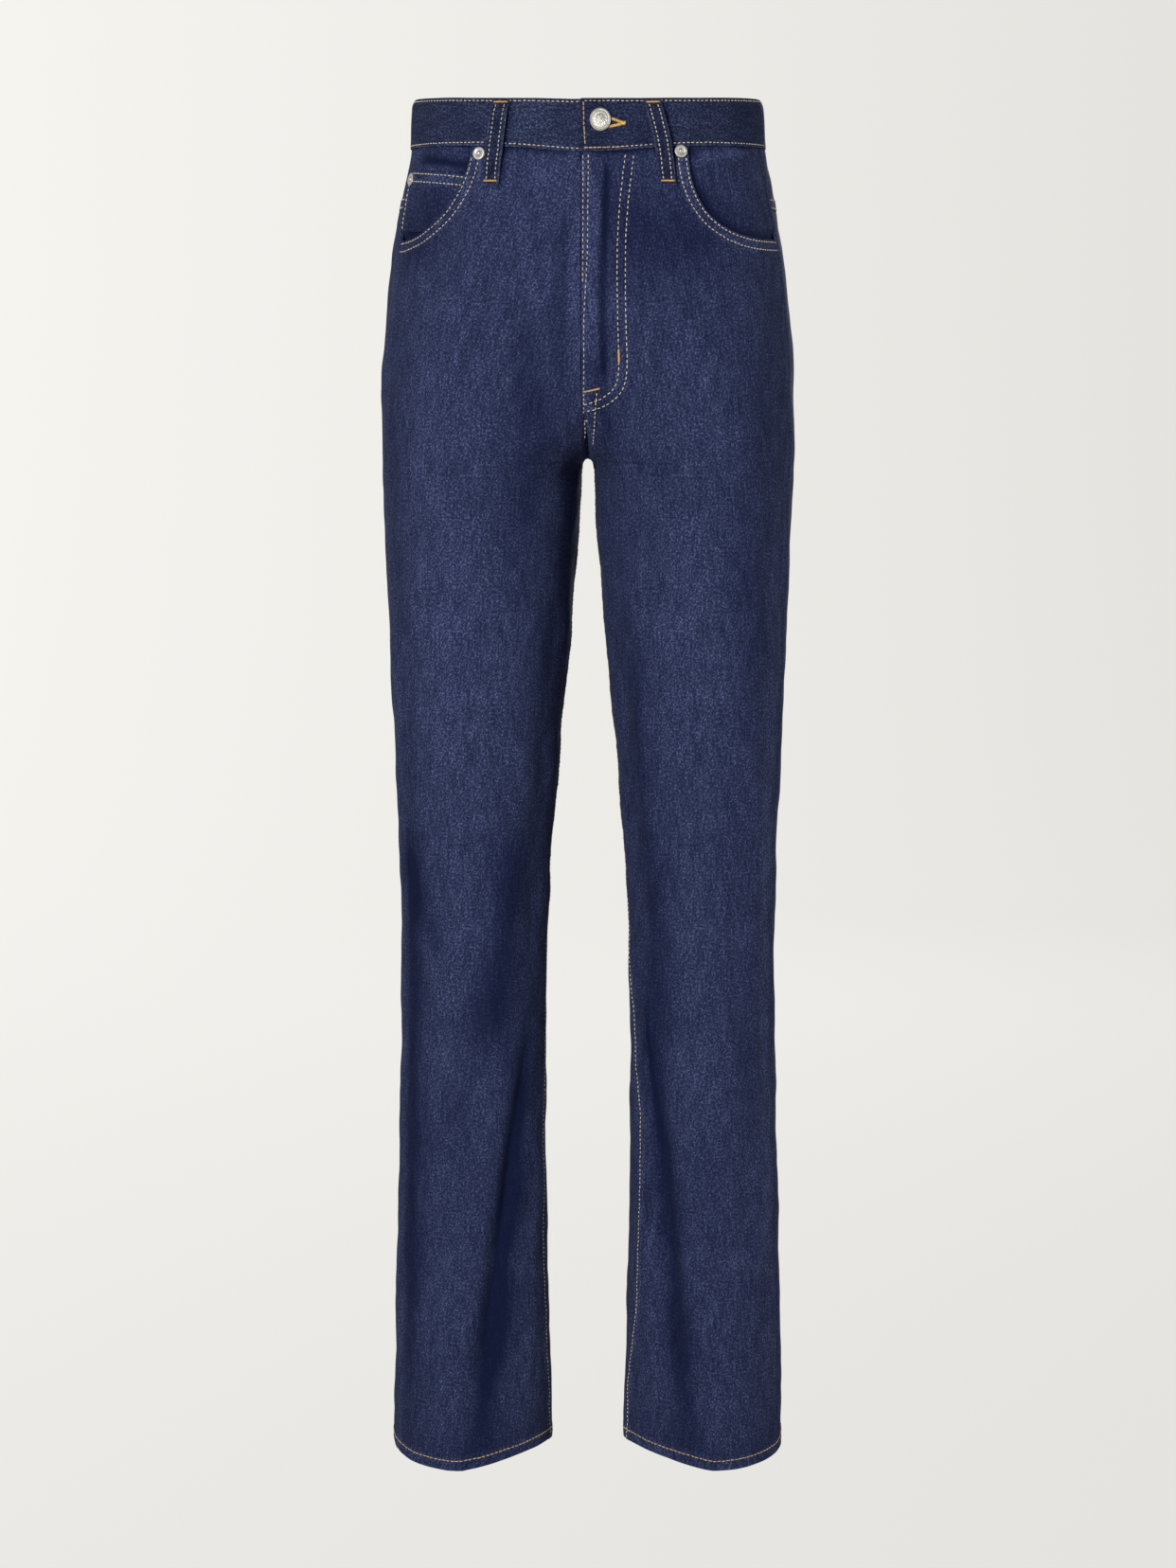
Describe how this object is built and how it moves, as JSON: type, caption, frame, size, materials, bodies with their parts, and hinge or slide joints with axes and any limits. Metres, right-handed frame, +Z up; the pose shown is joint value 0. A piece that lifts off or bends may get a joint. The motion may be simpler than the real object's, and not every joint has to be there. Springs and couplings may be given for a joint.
{
  "type": "straight leg jeans",
  "caption": "Raw denim straight leg jeans, hollow as worn, with a lapped waistband, shank button, scooped front pockets, coin pocket, fly, yoke, back pockets and belt loops.",
  "frame": {"origin": "middle of the waist opening, level with the top edge of the waistband", "axes": "+Z up along the wearer, -Y to the wearer's front, +X to the wearer's left"},
  "size_m": [0.3152, 0.2314, 1.066],
  "materials": {
    "denim": "raw indigo twill",
    "zip_tape": "woven tape",
    "silver_metal": "worn silver"
  },
  "bodies": {
    "root": {"front_left": "denim", "front_right": "denim", "back_left": "denim", "back_right": "denim", "yoke_left": "denim", "yoke_right": "denim", "waistband": "denim", "pocket_facing_left": "denim", "pocket_facing_right": "denim", "coin_pocket": "denim", "back_pocket_left": "denim", "back_pocket_right": "denim", "fly_facing": "denim", "fly_shield": "denim", "zip": "zip_tape", "belt_loop_front_left": "denim", "belt_loop_front_right": "denim", "belt_loop_back_left": "denim", "belt_loop_back_right": "denim", "belt_loop_centre_back": "denim", "hem_left": "denim", "hem_right": "denim", "waist_button": "silver_metal", "rivet_front_left": "silver_metal", "rivet_front_right": "silver_metal", "rivet_coin_pocket": "silver_metal"}
  },
  "joints": []
}
